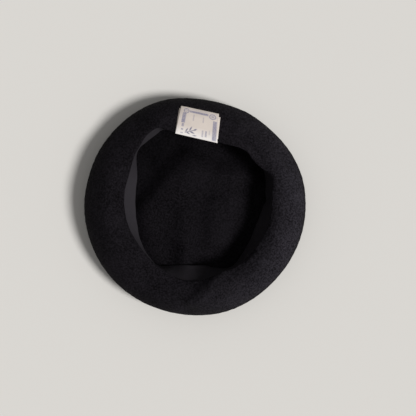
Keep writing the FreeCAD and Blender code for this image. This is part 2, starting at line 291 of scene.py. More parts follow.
# ------------------------------------------------------------------ finishes
class Nodes:
    """A short-hand for building one node material."""

    def __init__(self, name: str) -> None:
        """Start a material that holds only its shader and its output.

        Args:
            name: the material's name.
        """
        self.material = bpy.data.materials.new(name)
        self.material.use_nodes = True
        self.tree = self.material.node_tree
        self.tree.nodes.clear()
        self.shader = self.add("ShaderNodeBsdfPrincipled")
        output = self.add("ShaderNodeOutputMaterial")
        self.join(self.shader.outputs["BSDF"], output.inputs["Surface"])
        self.place = self.add("ShaderNodeTexCoord").outputs["Object"]

    def add(self, kind: str, **settings: object) -> bpy.types.Node:
        """Add a node.

        Args:
            kind: Blender's name for the node.
            **settings: its plain properties.

        Returns:
            The node.
        """
        node = self.tree.nodes.new(kind)
        for name, value in settings.items():
            setattr(node, name, value)
        return node

    def join(self, source: bpy.types.NodeSocket, target: bpy.types.NodeSocket) -> None:
        """Link two sockets."""
        self.tree.links.new(source, target)

    def noise(self, grain: float, detail: float = 3.0, rough: float = 0.6,
              stretch: tuple[float, float, float] = (1.0, 1.0, 1.0)) -> bpy.types.NodeSocket:
        """A noise laid over the whole hat.

        Args:
            grain: about how many millimetres its lumps are across.
            detail: how many finer layers it has.
            rough: how strong the finer layers are.
            stretch: how much closer the lumps stand along each axis.

        Returns:
            The noise, from 0 to 1.
        """
        place = self.add("ShaderNodeMapping")
        place.inputs["Scale"].default_value = stretch
        self.join(self.place, place.inputs["Vector"])
        node = self.add("ShaderNodeTexNoise")
        node.inputs["Scale"].default_value = 1.0 / (grain * MM)
        node.inputs["Detail"].default_value = detail
        node.inputs["Roughness"].default_value = rough
        self.join(place.outputs["Vector"], node.inputs["Vector"])
        return node.outputs["Fac"]

    def math(self, operation: str, first: object, second: object = 0.0,
             third: object = 0.0) -> bpy.types.NodeSocket:
        """One arithmetic step; each value is a socket or a number.

        Args:
            operation: Blender's name for the step.
            first: the first value.
            second: the second value.
            third: the third value, for the steps that take one.

        Returns:
            The outcome.
        """
        node = self.add("ShaderNodeMath", operation=operation)
        for socket, value in zip(node.inputs, (first, second, third)):
            if isinstance(value, bpy.types.NodeSocket):
                self.join(value, socket)
            else:
                socket.default_value = value
        return node.outputs["Value"]

    def ramp(self, value: bpy.types.NodeSocket, low: float, high: float) -> bpy.types.NodeSocket:
        """Stretch a value and hold it between 0 and 1.

        Args:
            value: what to stretch.
            low: where it becomes 0.
            high: where it becomes 1; it may be the smaller of the two.

        Returns:
            The stretched value.
        """
        node = self.add("ShaderNodeMapRange")
        node.inputs["From Min"].default_value = low
        node.inputs["From Max"].default_value = high
        self.join(value, node.inputs["Value"])
        return node.outputs["Result"]

    def mix(self, share: bpy.types.NodeSocket, first: object, second: object) -> bpy.types.NodeSocket:
        """Mix two colours.

        Args:
            share: how much of the second colour is taken.
            first: a colour, or the socket that gives it.
            second: a colour, or the socket that gives it.

        Returns:
            The mixed colour.
        """
        node = self.add("ShaderNodeMix", data_type="RGBA")
        self.join(share, node.inputs["Factor"])
        colours = [socket for socket in node.inputs if socket.type == "RGBA"]
        for socket, value in zip(colours, (first, second)):
            if isinstance(value, bpy.types.NodeSocket):
                self.join(value, socket)
            else:
                socket.default_value = (*value, 1.0)
        return next(socket for socket in node.outputs if socket.type == "RGBA")

    def bump(self, height: bpy.types.NodeSocket, depth: float, strength: float = 1.0) -> None:
        """Give the shader a relief.

        Args:
            height: the relief, from 0 to 1.
            depth: how deep it is, in millimetres.
            strength: how strongly it shows.
        """
        node = self.add("ShaderNodeBump")
        node.inputs["Strength"].default_value = strength
        node.inputs["Distance"].default_value = depth * MM
        self.join(height, node.inputs["Height"])
        self.join(node.outputs["Normal"], self.shader.inputs["Normal"])

    def toward(self, way: tuple[float, float, float]) -> bpy.types.NodeSocket:
        """How far each point lies along a direction.

        Args:
            way: the direction.

        Returns:
            The distance from the hat's middle, in metres.
        """
        node = self.add("ShaderNodeVectorMath", operation="DOT_PRODUCT")
        self.join(self.place, node.inputs[0])
        node.inputs[1].default_value = way
        return node.outputs["Value"]

    def plan_radius(self) -> bpy.types.NodeSocket:
        """How far each point lies from the hat's upright middle line.

        Returns:
            The distance, in metres.
        """
        flat = self.add("ShaderNodeVectorMath", operation="MULTIPLY")
        self.join(self.place, flat.inputs[0])
        flat.inputs[1].default_value = (1.0, 1.0, 0.0)
        radius = self.add("ShaderNodeVectorMath", operation="LENGTH")
        self.join(flat.outputs["Vector"], radius.inputs[0])
        return radius.outputs["Value"]

    def height(self) -> bpy.types.NodeSocket:
        """How high each point is over the ground.

        Returns:
            The height, in metres.
        """
        split = self.add("ShaderNodeSeparateXYZ")
        self.join(self.place, split.inputs["Vector"])
        return split.outputs["Z"]

    def two_tone(self, share: bpy.types.NodeSocket, first: tuple[float, float, float],
                 second: tuple[float, float, float], part: float) -> bpy.types.NodeSocket:
        """Mix two colours that are both darkened to a part of themselves."""
        return self.mix(share, tuple(part * tone for tone in first), tuple(part * tone for tone in second))

    def set(self, **values: object) -> None:
        """Set the shader's own sockets; an underscore stands for a space."""
        for name, value in values.items():
            self.shader.inputs[name.replace("_", " ")].default_value = value


@dataclass(frozen=True)
class FeltFinish:
    """Milled wool felt: matt and pebbled, with a painted highlight on the outer roll's side that faces the
    key lamp.

    The inside of the crown is darker all over, and darker still with painted shade in its hollow towards
    the upper left.  Reaches are metres: where a tone begins and where it is full.
    """

    dark: tuple[float, float, float] = (0.0026, 0.0022, 0.0027)
    light: tuple[float, float, float] = (0.0174, 0.0152, 0.0188)
    # painted highlight: lighter tones for the outer roll's side that faces the key lamp
    highlight_dark: tuple[float, float, float] = (0.0050, 0.0044, 0.0056)
    highlight_light: tuple[float, float, float] = (0.0400, 0.0364, 0.0448)
    highlight_way: tuple[float, float, float] = (0.97, -0.243, 0.0)
    highlight_reach: tuple[float, float] = (-0.008, 0.116)
    highlight_ring: tuple[float, float] = (0.080, 0.128)
    inside: float = 0.80
    mouth_radius: tuple[float, float] = (0.079, 0.087)
    mouth_height: tuple[float, float] = (0.026, 0.034)
    # painted shade: the share of its tone that the crown's inside keeps in its hollow towards the upper
    # left
    hollow_shade: float = 0.46
    hollow_shade_way: tuple[float, float, float] = (-0.47, 0.88, 0.0)
    hollow_shade_reach: tuple[float, float] = (0.060, 0.078)
    pebble: float = 2.1
    fibre: float = 0.6
    cloud: float = 30.0
    relief: float = 1.35

    def build(self) -> bpy.types.Material:
        """Make the material.

        Returns:
            The felt.
        """
        nodes = Nodes("black_felt")
        pebbles = nodes.noise(self.pebble, 4.0, 0.65)
        fibres = nodes.noise(self.fibre, 3.0, 0.7)
        clouds = nodes.noise(self.cloud, 3.0, 0.55)
        grain = nodes.math("MULTIPLY_ADD", nodes.ramp(pebbles, 0.4, 0.62), 0.7,
                           nodes.math("MULTIPLY", nodes.ramp(clouds, 0.3, 0.7), 0.3))
        radius = nodes.plan_radius()
        # painted highlight: the outer roll turns lighter on its side towards the key lamp
        highlight_mask = nodes.math("MULTIPLY", nodes.ramp(nodes.toward(self.highlight_way), *self.highlight_reach),
                            nodes.ramp(radius, *self.highlight_ring))
        outside = nodes.math("MULTIPLY", nodes.ramp(radius, *self.mouth_radius),
                             nodes.ramp(nodes.height(), *self.mouth_height))
        # painted shade: the crown's inside darkens in its hollow towards the upper left
        hollow_shade_mask = nodes.ramp(nodes.toward(self.hollow_shade_way), *self.hollow_shade_reach)
        outer_with_highlight = nodes.mix(highlight_mask, nodes.mix(grain, self.dark, self.light),
                            nodes.mix(grain, self.highlight_dark, self.highlight_light))
        inner_with_hollow_shade = nodes.mix(hollow_shade_mask, nodes.two_tone(grain, self.dark, self.light, self.inside),
                              nodes.two_tone(grain, self.dark, self.light, self.hollow_shade))
        nodes.join(nodes.mix(outside, inner_with_hollow_shade, outer_with_highlight), nodes.shader.inputs["Base Color"])
        nodes.bump(nodes.math("MULTIPLY_ADD", fibres, 0.35, pebbles), self.relief)
        nodes.set(Roughness=0.62, Specular_IOR_Level=0.02, Sheen_Weight=0.003, Sheen_Roughness=0.6)
        return nodes.material


@dataclass(frozen=True)
class RibbonFinish:
    """Closely woven ribbon with fine ribs across its width, with painted shade on its lower right side,
    which faces away from the key lamp.

    The reach is metres: where the painted shade begins and where it is full.
    """

    dark: tuple[float, float, float] = (0.0272, 0.0246, 0.0286)
    light: tuple[float, float, float] = (0.0430, 0.0392, 0.0450)
    # painted shade: darker tones for the ribbon's lower right side
    shade_dark: tuple[float, float, float] = (0.0142, 0.0124, 0.0148)
    shade_light: tuple[float, float, float] = (0.0270, 0.0241, 0.0284)
    shade_way: tuple[float, float, float] = (0.72, -0.69, 0.0)
    shade_reach: tuple[float, float] = (0.006, 0.040)
    ribs_round: int = 760

    def build(self) -> bpy.types.Material:
        """Make the material; the ribs follow the piece's own round coordinate.

        Returns:
            The ribbon's cloth.
        """
        nodes = Nodes("band_cloth")
        layout = nodes.add("ShaderNodeUVMap", uv_map="ribbon").outputs["UV"]
        split = nodes.add("ShaderNodeSeparateXYZ")
        nodes.join(layout, split.inputs["Vector"])
        turns = nodes.math("MULTIPLY", split.outputs["X"], TURN * self.ribs_round)
        ribs = nodes.math("MULTIPLY_ADD", nodes.math("SINE", turns), 0.5, 0.5)
        soft = nodes.noise(5.0, 3.0, 0.6)
        tone = nodes.math("MULTIPLY_ADD", ribs, 0.35, nodes.math("MULTIPLY", soft, 0.65))
        # painted shade: the ribbon darkens towards its lower right side
        wear_and_shade = nodes.ramp(nodes.toward(self.shade_way), *self.shade_reach)
        unshaded = nodes.mix(tone, self.dark, self.light)
        shaded = nodes.mix(tone, self.shade_dark, self.shade_light)
        nodes.join(nodes.mix(wear_and_shade, unshaded, shaded), nodes.shader.inputs["Base Color"])
        nodes.bump(nodes.math("MULTIPLY_ADD", ribs, 0.5, soft), 0.25, 0.6)
        nodes.set(Roughness=0.7, Specular_IOR_Level=0.06)
        return nodes.material


@dataclass(frozen=True)
class ThreadFinish:
    """Twisted sewing thread."""

    name: str
    dark: tuple[float, float, float]
    light: tuple[float, float, float]

    def build(self) -> bpy.types.Material:
        """Make the material.

        Returns:
            The thread.
        """
        nodes = Nodes(self.name)
        twist = nodes.noise(0.35, 2.0, 0.5, (1.0, 1.0, 2.5))
        nodes.join(nodes.mix(nodes.ramp(twist, 0.35, 0.65), self.dark, self.light),
                   nodes.shader.inputs["Base Color"])
        nodes.bump(twist, 0.12, 0.7)
        nodes.set(Roughness=0.6, Specular_IOR_Level=0.3)
        return nodes.material


# ------------------------------------------------------------------ felt body
@dataclass
class FeltBody:
    """The seamless felt shell: crown plate, fat roll and turned-in underside."""

    plate: RoundLine = RoundLine((
        (0, 139.2), (15, 139.7), (30, 137.9), (45, 135.4), (60, 134.8), (75, 133.6), (90, 135.0),
        (105, 138.3), (120, 139.0), (135, 138.3), (150, 138.0), (165, 137.3), (180, 137.7),
        (195, 137.2), (210, 137.0), (225, 136.6), (240, 136.0), (255, 135.5), (270, 136.0),
        (285, 137.1), (300, 136.8), (315, 136.5), (330, 137.3), (345, 138.5),
    ))
    opening: RoundLine = RoundLine((
        (8, 97.6), (15, 100.0), (22, 102.4), (31, 95.2), (39, 93.2), (46, 94.2), (53, 92.0),
        (60, 88.2), (69, 85.6), (88, 87.0), (104, 95.0), (110, 101.4), (114, 107.0), (122, 106.4),
        (126, 104.5), (131.5, 100.9), (138, 98.0), (142, 95.7), (153, 90.4), (166, 88.8), (184, 86.4),
        (198, 85.2), (211, 84.0), (224, 84.8), (236, 86.8), (247, 87.8), (256, 91.0), (265, 92.8),
        (275, 91.8), (285, 88.8), (294, 87.8), (304, 90.8), (322, 91.4), (344, 94.6), (356, 95.8),
    ))
    crest: RoundLine = RoundLine((
        (0, 107.0), (60, 106.0), (90, 109.0), (112, 112.0), (126, 111.0), (142, 103.0), (175, 107.0),
        (210, 104.0), (255, 106.0), (300, 107.0),
    ))
    crest_height: RoundLine = RoundLine((
        (0, 49.6), (40, 49.0), (90, 50.2), (140, 48.6), (190, 49.4), (240, 48.0), (275, 50.4),
        (320, 49.8),
    ))
    rim_height: RoundLine = RoundLine((
        (0, 44.8), (30, 46.2), (55, 48.4), (90, 49.0), (115, 47.8), (150, 47.4), (190, 47.8),
        (230, 45.6), (262, 44.6), (290, 45.8), (325, 44.4),
    ))
    lip: RoundLine = RoundLine((
        (0, 0.0), (25, 0.8), (42, 3.0), (62, 1.8), (85, 0.0), (105, 0.4), (124, 2.6), (140, 0.8),
        (165, 0.0), (200, 0.0), (250, 0.0), (300, 0.0),
    ))
    lip_width: float = 9.0
    widest_height: float = 24.5
    roll_power: float = 1.22
    lower_power: float = 0.86
    slope_power: float = 1.8
    even_plate: float = 136.5
    foot: float = 96.0
    foot_blend: tuple[float, float] = (14.0, 16.0)
    lift: float = 11.5
    dome: tuple[float, float] = (38.0, 80.0)
    thick: float = 2.6
    columns: int = 440
    crown_rows: int = 40
    lower_rows: int = 27
    upper_rows: int = 25
    slope_rows: int = 15
    rim_rows: int = 5
    ring_folds: tuple[Fold, ...] = (
        Fold((39, -78), (-4, -119), 7.6, 22.0, 7.8, 5.0),
        Fold((20, -100), (4, -118), 1.2, 5.0, 3.0, 6.0),
        Fold((62, -66), (73, -55), -1.3, 2.4, 2.0, 4.0),
        Fold((67, -67), (78, -56), 0.9, 2.2, 2.2, 4.0),
        Fold((59, 100), (110, 50), 4.8, 4.2, 14.0, 8.0),
        Fold((-94, 84), (-40, 120), -0.9, 8.0, 8.0, 14.0),
        Fold((-108, 60), (-112, -30), 1.2, 12.0, 12.0, 20.0),
    )
    crown_folds: tuple[Fold, ...] = (
        Fold((-72, -12), (-6, 58), 7.5, 15.0, 40.0, 18.0),
        Fold((-12, -12), (-12, -80), 7.0, 10.0, 13.0, 12.0),
        Fold((26, 4), (26, -44), 6.0, 12.0, 16.0, 12.0),
        Fold((-63, -6), (-60, -50), 5.0, 14.0, 12.0, 12.0),
        Fold((40, 43), (76, 36), 6.5, 11.0, 11.0, 12.0),
        Fold((-46, -80), (30, -88), 9.5, 30.0, 16.0, 18.0),
    )
    ring_ripple: Ripple = Ripple(46.0, 0.55, 11)
    crown_ripple: Ripple = Ripple(30.0, 0.35, 5)
    pebble_ripple: Ripple = Ripple(7.0, 0.11, 23, 14)
    bearings: np.ndarray = field(init=False)

    def __post_init__(self) -> None:
        """Lay out the bearings of the mesh columns."""
        self.bearings = np.linspace(0.0, TURN, self.columns, endpoint=False)

    def crown_height(self, across: np.ndarray, along: np.ndarray) -> np.ndarray:
        """Height of the crown's outer face over the ground.

        Args:
            across: the points' X.
            along: the points' Y.

        Returns:
            The heights; the resting ring lies on the ground.
        """
        radius = np.hypot(across, along)
        rise = self.lift * (1.0 - smooth(radius, *self.dome))
        for fold in self.crown_folds:
            rise = rise + fold.height(across, along)
        rise = rise + self.crown_ripple.height(across, along)
        settled = smooth(radius, self.foot + self.foot_blend[0], self.foot - self.foot_blend[1])
        return np.maximum(rise * settled, 0.0)

    def ring_lift(self, across: np.ndarray, along: np.ndarray) -> np.ndarray:
        """What folds and unevenness add to the height of the turned-in underside.

        Args:
            across: the points' X.
            along: the points' Y.

        Returns:
            The added heights.
        """
        total = self.ring_ripple.height(across, along)
        for fold in self.ring_folds:
            total = total + fold.height(across, along)
        return total

    def line_rows(self) -> tuple[np.ndarray, np.ndarray]:
        """The outer face as rows of radius and height, from the crown's middle to the opening.

        Returns:
            The radii and the heights, without folds and unevenness.
        """
        plate, opening = self.plate.at(self.bearings), self.opening.at(self.bearings)
        crest, top = self.crest.at(self.bearings), self.crest_height.at(self.bearings)
        rim, lip = self.rim_height.at(self.bearings), self.lip.at(self.bearings)
        foot = plate * self.foot / self.even_plate
        radii, heights = [], []
        for share in np.linspace(0.0, 1.0, self.crown_rows, endpoint=False)[1:]:
            radii.append(foot * share)
            heights.append(np.zeros_like(foot))
        for turn in np.linspace(0.0, math.pi / 2, self.lower_rows, endpoint=False):
            radii.append(foot + (plate - foot) * math.sin(turn) ** self.lower_power)
            level = self.widest_height * (1.0 - math.cos(turn) ** self.lower_power)
            heights.append(np.full_like(foot, level))
        for turn in np.linspace(0.0, math.pi / 2, self.upper_rows, endpoint=False):
            radii.append(crest + (plate - crest) * math.cos(turn) ** self.roll_power)
            level = (top - self.widest_height) * math.sin(turn) ** self.roll_power
            heights.append(self.widest_height + level)
        for share in np.linspace(0.0, 1.0, self.slope_rows):
            radii.append(crest + (opening - crest) * share)
            from_edge = (crest - opening) * (1.0 - share)
            upturn = lip * (1.0 - smooth(from_edge, 0.0, self.lip_width))
            heights.append(top - (top - rim) * share**self.slope_power + upturn)
        return np.array(radii), np.array(heights)

    def outer_face(self) -> np.ndarray:
        """The outer face as a grid of points, rows from the crown's middle to the opening.

        Returns:
            The points, by row and column.
        """
        radius, height = self.line_rows()
        across, along = radius * np.cos(self.bearings), radius * np.sin(self.bearings)
        rows = len(radius)
        wall = self.crown_rows - 1 + self.lower_rows
        index = np.arange(rows)[:, None]
        on_ring = smooth(index, wall, wall + self.upper_rows * 0.8)
        on_crown = 1.0 - smooth(index, self.crown_rows - 1, self.crown_rows + 10)
        height = height + on_ring * self.ring_lift(across, along)
        height = height + on_crown * self.crown_height(across, along)
        grid = np.stack([across, along, height], axis=2)
        normal = surface_normals(grid)
        bumps = self.pebble_ripple.height(across + 0.7 * height, along - 0.6 * height)
        free = smooth(height, 0.4, 3.0)
        return grid + normal * (bumps * free)[:, :, None]

    def build(self, material: bpy.types.Material) -> bpy.types.Object:
        """Close the shell with its inner face and rolled edge, and make the piece.

        Args:
            material: the felt.

        Returns:
            The shell.
        """
        outer = self.outer_face()
        normal = surface_normals(outer)
        inner = outer - normal * self.thick
        turns = np.linspace(0.0, math.pi, self.rim_rows + 2)[1:-1]
        middle, reach = (outer[-1] + inner[-1]) / 2, self.thick / 2
        away = outer[-1] - outer[-2]
        away /= np.linalg.norm(away, axis=1, keepdims=True)
        rim = [middle + reach * (math.cos(t) * normal[-1] + math.sin(t) * away) for t in turns]
        rows = np.concatenate([outer, np.array(rim), inner[::-1]])
        count = len(rows)
        points = rows.reshape(-1, 3)
        outer_pole = outer[0].mean(axis=0)
        inner_pole = inner[0].mean(axis=0)
        points = np.concatenate([points, [outer_pole, inner_pole]])
        faces = grid_faces(count, self.columns, True)
        last = (count - 1) * self.columns
        for column in range(self.columns):
            after = (column + 1) % self.columns
            faces.append([len(points) - 2, after, column])
            faces.append([len(points) - 1, last + column, last + after])
        return new_piece("felt_shell", points, faces, material, HAT, ("felt_body",))


# ------------------------------------------------------------------ sweatband
@dataclass
class Sweatband:
    """The ribbon ring sewn inside the opening, leaning in at its free edge."""

    felt: FeltBody
    free_edge: RoundLine = RoundLine((
        (1, 87.0), (3.5, 89.8), (12, 91.6), (24, 97.6), (34, 99.5), (60, 95.0), (88, 93.0),
        (105, 99.0), (112, 104.6), (118, 103.0), (124, 101.7), (128, 100.8), (132, 101.1),
        (135, 100.2), (138.5, 97.5), (143, 91.4), (149, 84.4), (157.4, 78.5), (170, 75.0),
        (183, 74.3), (197.8, 75.3), (211.4, 80.2), (220.7, 83.4), (229, 85.4), (236, 87.4),
        (242.5, 85.0), (252, 77.8), (262.5, 73.4), (278.4, 74.8), (290, 82.0), (298, 87.4),
        (306, 88.5), (314, 85.6), (326, 82.1), (340, 80.9), (351, 83.1),
    ))
    wide: float = 31.0
    thick: float = 0.7
    bead_half: float = 0.62
    edge_half: float = 0.35
    inset: float = 1.2
    below: float = 1.6
    columns: int = 480
    rows: int = 18
    bearings: np.ndarray = field(init=False)

    def __post_init__(self) -> None:
        """Lay out the bearings of the mesh columns."""
        self.bearings = np.linspace(0.0, TURN, self.columns, endpoint=False)

    def centre_face(self, bearings: np.ndarray, shares: np.ndarray) -> np.ndarray:
        """Points on the ribbon's middle face.

        Args:
            bearings: angles round the hat, in radians.
            shares: how far down the ribbon, 0 at the sewn edge and 1 at the free edge.

        Returns:
            A grid of points, one row for each share.
        """
        sewn = self.felt.opening.at(bearings) + self.inset
        top = self.felt.rim_height.at(bearings) + self.felt.lip.at(bearings)
        top = top + self.felt.ring_lift(sewn * np.cos(bearings), sewn * np.sin(bearings)) - self.below
        free = self.free_edge.at(bearings)
        lean = sewn - free
        drop = np.sqrt(self.wide**2 - lean**2)
        ripple = 0.28 * np.sin(11 * bearings + 1.0) + 0.15 * np.sin(23 * bearings)
        rows = []
        for share in shares:
            eased = share**1.05
            radius = sewn - lean * eased + ripple * share
            height = top - drop * (0.35 * share + 0.65 * share**0.9)
            rows.append(np.stack([radius * np.cos(bearings), radius * np.sin(bearings), height], axis=1))
        return np.array(rows)

    def build(self, material: bpy.types.Material) -> bpy.types.Object:
        """Make the closed ribbon, with a selvedge bead along its free edge.

        Args:
            material: the ribbon's cloth.

        Returns:
            The ribbon.
        """
        shares = np.linspace(0.0, 1.0, self.rows)
        face = self.centre_face(self.bearings, shares)
        normal = surface_normals(face)
        half = np.full(self.rows, self.thick / 2)
        half[-3:-1] = self.bead_half
        half[-1] = self.edge_half
        half = half[:, None, None]
        around = np.concatenate([face + normal * half, (face - normal * half)[::-1]])
        points = around.reshape(-1, 3)
        rows = len(around)
        faces = grid_faces(rows, self.columns, True)
        last = (rows - 1) * self.columns
        for column in range(self.columns):
            after = (column + 1) % self.columns
            faces.append([last + column, last + after, after, column])
        piece = new_piece("sweatband_ribbon", points, faces, material, HAT, ("sweatband",))
        self.lay_out(piece, rows)
        return piece

    def lay_out(self, piece: bpy.types.Object, rows: int) -> None:
        """Give the ribbon its own round and down coordinates, for the ribs.

        Args:
            piece: the ribbon.
            rows: how many rows of vertices go round its section.
        """
        layer = piece.data.uv_layers.new(name="ribbon")
        for polygon in piece.data.polygons:
            corners = [piece.data.loops[index].vertex_index for index in polygon.loop_indices]
            columns = [corner % self.columns for corner in corners]
            wraps = max(columns) - min(columns) > self.columns / 2
            for index, corner, column in zip(polygon.loop_indices, corners, columns):
                around = column + (self.columns if wraps and column == 0 else 0)
                layer.data[index].uv = (around / self.columns, (corner // self.columns) / rows)


# ------------------------------------------------------------------ label
@dataclass
class Label:
    """The printed cloth label, folded in two over the hinge line."""

    felt: FeltBody
    hinge: tuple[float, float, float] = (2.75, 84.2, 50.0)
    turn: float = -12.95
    flap_corners: tuple[tuple[float, float], ...] = (
        (-26.5, 0.2), (26.3, 0.2), (20.4, 35.2), (-27.2, 34.7),
    )
    leaf_corners: tuple[tuple[float, float], ...] = (
        (-26.6, 0.0), (26.6, 0.0), (23.1, 31.4), (-28.6, 31.3),
    )
    thick: float = 0.34
    leaf_gap: float = 0.35
    flap_gap: float = 1.0
    fold_gap: float = 0.65
    fold_spread: float = 0.6
    fold_radius: float = 0.44
    fold_half: float = 26.5
    lie_down: float = 12.0
    step: float = 1.0
    print_wide: float = 54.0
    print_long: float = 36.0
    clear_of_print: float = 300.0

    def to_world(self, across: np.ndarray, out: np.ndarray) -> tuple[np.ndarray, np.ndarray]:
        """Turn the label's own plan coordinates into the hat's."""
        cos, sin = math.cos(math.radians(self.turn)), math.sin(math.radians(self.turn))
        return (self.hinge[0] + across * cos - out * sin, self.hinge[1] + across * sin + out * cos)

    def felt_height(self, across: np.ndarray, along: np.ndarray) -> np.ndarray:
        """Height of the felt's upper side, held level inside the opening.

        Args:
            across: the points' X.
            along: the points' Y.

        Returns:
            The heights.
        """
        bearing = np.arctan2(along, across)
        radius = np.hypot(across, along)
        felt = self.felt
        plate, opening = felt.plate.at(bearing), felt.opening.at(bearing)
        crest, top = felt.crest.at(bearing), felt.crest_height.at(bearing)
        rim, lip = felt.rim_height.at(bearing), felt.lip.at(bearing)
        share = np.clip((crest - radius) / (crest - opening), 0.0, 1.0)
        inside = top - (top - rim) * share**felt.slope_power
        inside = inside + lip * (1.0 - smooth(radius - opening, 0.0, felt.lip_width))
        ratio = np.clip((radius - crest) / (plate - crest), 0.0, 0.999)
        turn = np.arccos(ratio ** (1 / felt.roll_power))
        outside = felt.widest_height + (top - felt.widest_height) * np.sin(turn) ** felt.roll_power
        height = np.where(radius > crest, outside, inside)
        return height + felt.ring_lift(across, along)

    def leaf(self, corners: tuple[tuple[float, float], ...], gap: float,
             wave: float) -> tuple[np.ndarray, list, np.ndarray]:
        """One leaf as a closed sheet that follows the felt.

        Args:
            corners: its four corners in the label's own plan, near ones first.
            gap: its height over the felt.
            wave: how far its far edge waves up and down.

        Returns:
            Its points, its faces and each point's place on the leaf in shares.
        """
        columns, rows = int(self.print_wide / self.step) + 1, int(self.print_long / self.step) + 1
        side, out = np.meshgrid(np.linspace(0.0, 1.0, columns), np.linspace(0.0, 1.0, rows))
        near_left, near_right, far_right, far_left = (np.array(corner) for corner in corners)
        to_right, to_far = side[..., None], out[..., None]
        near = near_left * (1 - to_right) + near_right * to_right
        far = far_left * (1 - to_right) + far_right * to_right
        plan = near * (1 - to_far) + far * to_far
        across, along = self.to_world(plan[..., 0], plan[..., 1])
        lying = self.felt_height(across, along) + gap
        hinge_level = self.hinge[2] + (gap - self.fold_gap) * self.fold_spread
        height = lying + (hinge_level - lying) * (1.0 - smooth(plan[..., 1], 0.0, self.lie_down))
        height = height + wave * smooth(out, 0.55, 1.0) * (0.5 + 0.5 * np.sin(TURN * 1.6 * side + 0.7))
        face = np.stack([across, along, height], axis=2)
        normal = np.cross(np.gradient(face, axis=1), np.gradient(face, axis=0))
        normal /= np.linalg.norm(normal, axis=2, keepdims=True)
        top, bottom = face + normal * self.thick / 2, face - normal * self.thick / 2
        points = np.concatenate([top.reshape(-1, 3), bottom.reshape(-1, 3)])
        count = rows * columns
        upper = grid_faces(rows, columns, False)
        faces = upper + [[count + corner for corner in quad[::-1]] for quad in upper]
        border = (list(range(columns))
                  + [row * columns + columns - 1 for row in range(1, rows)]
                  + [(rows - 1) * columns + column for column in range(columns - 2, -1, -1)]
                  + [row * columns for row in range(rows - 2, 0, -1)])
        for first, second in zip(border, border[1:] + border[:1]):
            faces.append([first + count, second + count, second, first])
        places = np.stack([side.ravel(), out.ravel()], axis=1)
        return points, faces, np.concatenate([places, places])

    def dress(self, piece: bpy.types.Object, places: np.ndarray, printed: bool) -> None:
        """Give the leaf its print coordinates in millimetres, from the fold's left end.

        Args:
            piece: the leaf.
            places: each vertex's place on the leaf, in shares.
            printed: whether the leaf's upper face carries the print; other faces stay plain.
        """
        layer = piece.data.uv_layers.new(name="print")
        upper = len(places) // 2
        for polygon in piece.data.polygons:
            inked = printed and all(corner < upper for corner in polygon.vertices)
            for index in polygon.loop_indices:
                side, out = places[piece.data.loops[index].vertex_index]
                aside = 0.0 if inked else self.clear_of_print
                layer.data[index].uv = (side * self.print_wide + aside, out * self.print_long)

    def build(self, material: bpy.types.Material) -> None:
        """Make the sewn leaf, the flap and the round fold between them.

        Args:
            material: the label's cloth.
        """
        points, faces, places = self.leaf(self.leaf_corners, self.leaf_gap, 0.2)
        leaf = new_piece("label_back_leaf", points, faces, material, HAT,
                         ("label_sewn_leaf",))
        self.dress(leaf, places, False)
        points, faces, places = self.leaf(self.flap_corners, self.flap_gap, 0.9)
        flap = new_piece("label_front_leaf", points, faces, material, FLAP, ("label_flap",))
        self.dress(flap, places, True)
        line = np.linspace(-self.fold_half, self.fold_half, 40)
        across, along = self.to_world(line, np.full_like(line, 0.1))
        path = np.stack([across, along, np.full_like(line, self.hinge[2])], axis=1)
        points, faces = tube(path, np.full_like(line, self.fold_radius), 10)
        new_piece("label_fold", points, faces, material, HAT)


class Shape(Enum):
    """The plain shapes that the label's print is made of."""

    BLOCK = "block"
    SPOT = "spot"
    RING = "ring"


@dataclass(frozen=True)
class Mark:
    """One plain printed shape; its middle and half sizes are millimetres on the label."""

    shape: Shape
    middle: tuple[float, float]
    half: tuple[float, float]
    turn: float = 0.0
    weight: float = 1.0

    def mask(self, nodes: Nodes, layout: bpy.types.NodeSocket, soft: float) -> bpy.types.NodeSocket:
        """How much ink the mark lays on each point.

        Args:
            nodes: the material that is being built.
            layout: the label's own coordinates, in millimetres.
            soft: how far the ink spreads at the mark's edge, in millimetres.

        Returns:
            The ink's strength.
        """
        place = nodes.add("ShaderNodeMapping", vector_type="TEXTURE")
        nodes.join(layout, place.inputs["Vector"])
        place.inputs["Location"].default_value = (*self.middle, 0.0)
        place.inputs["Rotation"].default_value = (0.0, 0.0, math.radians(self.turn))
        place.inputs["Scale"].default_value = (*self.half, 1.0)
        blur = soft / min(self.half)
        if self.shape is Shape.BLOCK:
            size = nodes.add("ShaderNodeVectorMath", operation="ABSOLUTE")
            nodes.join(place.outputs["Vector"], size.inputs[0])
            split = nodes.add("ShaderNodeSeparateXYZ")
            nodes.join(size.outputs["Vector"], split.inputs["Vector"])
            blurs = [soft / half for half in self.half]
            across = nodes.ramp(split.outputs["X"], 1.0 + blurs[0], 1.0 - blurs[0])
            along = nodes.ramp(split.outputs["Y"], 1.0 + blurs[1], 1.0 - blurs[1])
            inked = nodes.math("MULTIPLY", across, along)
        else:
            size = nodes.add("ShaderNodeVectorMath", operation="LENGTH")
            nodes.join(place.outputs["Vector"], size.inputs[0])
            reach = size.outputs["Value"]
            if self.shape is Shape.RING:
                reach = nodes.math("ABSOLUTE", nodes.math("SUBTRACT", reach, 1.0))
                inked = nodes.ramp(reach, 0.26 + blur * 0.5, 0.12)
            else:
                inked = nodes.ramp(reach, 1.0 + blur, 1.0 - blur)
        return nodes.math("MULTIPLY", inked, self.weight)


